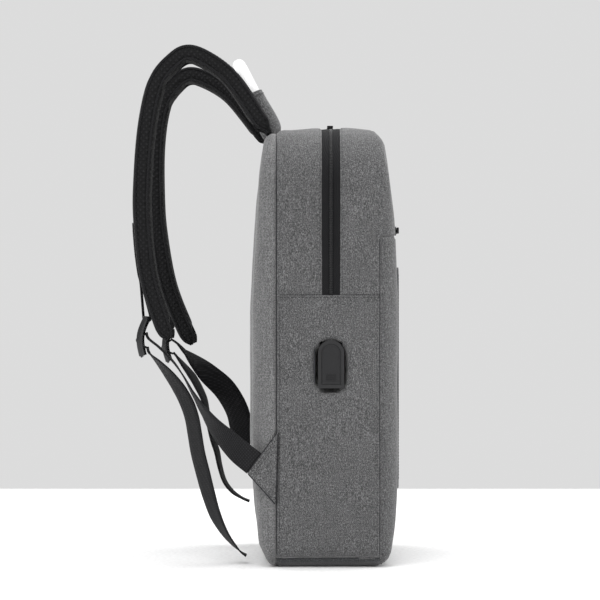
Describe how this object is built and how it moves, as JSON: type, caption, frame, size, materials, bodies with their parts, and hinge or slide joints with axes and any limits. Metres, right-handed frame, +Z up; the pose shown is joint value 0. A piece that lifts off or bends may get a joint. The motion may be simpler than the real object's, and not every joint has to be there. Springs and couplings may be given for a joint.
{
  "type": "solar backpack",
  "caption": "Grey fabric backpack with a solar panel on its front pocket, a side USB port, a tube handle and padded shoulder straps.",
  "frame": {"origin": "centre of the base's flat underside, on the floor", "axes": "+Z up, +X to the wearer's right, -Y to the front, +Y to the wearer's back"},
  "size_m": [0.3048, 0.2669, 0.5207],
  "materials": {
    "heather_fabric": "grey heather polyester",
    "rear_fabric": "smooth grey polyester",
    "base_fabric": "dense grey polyester",
    "lining_fabric": "plain lining cloth",
    "foam": "closed-cell foam",
    "board": "polyethylene board",
    "zip_tape": "black woven tape",
    "zip_coil": "black nylon coil",
    "zip_metal": "black painted zinc",
    "solar_cell": "dark blue cells",
    "solar_film": "clear film",
    "black_housing": "moulded black plastic",
    "lead_jacket": "black jacket",
    "port_rubber": "black rubber",
    "handle_tube": "white satin tube",
    "strap_mesh": "black spacer mesh",
    "binding": "black binding tape",
    "webbing": "black webbing",
    "buckle_plastic": "black acetal"
  },
  "bodies": {
    "bag": {"back_padding": "foam", "back_panel": "rear_fabric", "back_stiffener": "board", "base_foam": "foam", "base_panel": "base_fabric", "charge_controller": "black_housing", "front_pocket_panel": "heather_fabric", "front_upper_panel": "heather_fabric", "junction_box": "black_housing", "laptop_sleeve": "lining_fabric", "laptop_strap": "webbing", "lining": "lining_fabric", "lower_webbing_left": "webbing", "lower_webbing_right": "webbing", "panel_lead": "lead_jacket", "pocket_back_wall": "lining_fabric", "pocket_zip_coil": "zip_coil", "pocket_zip_tape": "zip_tape", "rear_gusset": "heather_fabric", "side_panel_left": "heather_fabric", "side_panel_right": "heather_fabric", "solar_backing": "board", "solar_border": "zip_tape", "solar_cells": "solar_cell", "solar_cover": "solar_film", "strap_tab_left": "heather_fabric", "strap_tab_right": "heather_fabric", "usb_clamp_plate": "black_housing", "usb_frame": "port_rubber", "usb_lead": "lead_jacket", "usb_socket": "black_housing", "zip_coil": "zip_coil", "zip_tape_front": "zip_tape", "zip_tape_rear": "zip_tape"},
    "handle": {"handle_tube": "handle_tube", "handle_sleeve_left": "heather_fabric", "handle_sleeve_right": "heather_fabric"},
    "usb_cover": {"usb_cover": "port_rubber"},
    "zip_slider_left": {"zip_slider_left": "zip_metal"},
    "zip_slider_right": {"zip_slider_right": "zip_metal"},
    "zip_pull_left": {"zip_pull_left": "zip_metal"},
    "zip_pull_right": {"zip_pull_right": "zip_metal"},
    "pocket_slider": {"pocket_zip_slider": "zip_metal"},
    "pocket_pull": {"pocket_zip_pull": "zip_metal"},
    "strap_left": {"shoulder_pad_left": "strap_mesh", "pad_binding_left": "binding", "strap_anchor_left": "binding", "buckle_loop_left": "webbing", "webbing_tail_left": "webbing"},
    "strap_right": {"shoulder_pad_right": "strap_mesh", "pad_binding_right": "binding", "strap_anchor_right": "binding", "buckle_loop_right": "webbing", "webbing_tail_right": "webbing"},
    "ladder_lock_left": {"ladder_lock_left": "buckle_plastic"},
    "ladder_lock_right": {"ladder_lock_right": "buckle_plastic"}
  },
  "joints": [
    {"name": "handle_tilt", "type": "hinge", "parent": "bag", "child": "handle", "pos_m": [0, 0.05353, 0.44205], "axis": [1, 0, 0], "range_deg": [-40, 60]},
    {"name": "usb_cover_hinge", "type": "hinge", "parent": "bag", "child": "usb_cover", "pos_m": [-0.15215, -0.0065, 0.2232], "axis": [0, 1, 0], "range_deg": [0, 120]},
    {"name": "zip_slide_left", "type": "slide", "parent": "bag", "child": "zip_slider_left", "axis": [-1, 0, 0], "range_m": [0, 0.065]},
    {"name": "zip_slide_right", "type": "slide", "parent": "bag", "child": "zip_slider_right", "axis": [1, 0, 0], "range_m": [0, 0.065]},
    {"name": "zip_pull_left_swing", "type": "hinge", "parent": "zip_slider_left", "child": "zip_pull_left", "pos_m": [-0.019, -0.0065, 0.4452], "axis": [0, 1, 0], "range_deg": [0, 90]},
    {"name": "zip_pull_right_swing", "type": "hinge", "parent": "zip_slider_right", "child": "zip_pull_right", "pos_m": [0.019, -0.0065, 0.4452], "axis": [0, 1, 0], "range_deg": [-90, 0]},
    {"name": "pocket_zip_slide", "type": "slide", "parent": "bag", "child": "pocket_slider", "axis": [1, 0, 0], "range_m": [0, 0.18]},
    {"name": "pocket_pull_swing", "type": "hinge", "parent": "pocket_slider", "child": "pocket_pull", "pos_m": [-0.09, -0.07376, 0.337], "axis": [0, 0, 1], "range_deg": [0, 90]},
    {"name": "strap_left_swing", "type": "hinge", "parent": "bag", "child": "strap_left", "pos_m": [-0.101, 0.052, 0.432], "axis": [1, 0, 0], "range_deg": [0, 10], "deforming": ["lower_webbing_left"]},
    {"name": "strap_right_swing", "type": "hinge", "parent": "bag", "child": "strap_right", "pos_m": [0.101, 0.052, 0.432], "axis": [1, 0, 0], "range_deg": [0, 10], "deforming": ["lower_webbing_right"]},
    {"name": "ladder_lock_left_tilt", "type": "hinge", "parent": "strap_left", "child": "ladder_lock_left", "pos_m": [-0.101, 0.1795, 0.2485], "axis": [1, 0, 0], "range_deg": [0, 8]},
    {"name": "ladder_lock_right_tilt", "type": "hinge", "parent": "strap_right", "child": "ladder_lock_right", "pos_m": [0.101, 0.16471, 0.23906], "axis": [1, 0, 0], "range_deg": [0, 8]}
  ]
}
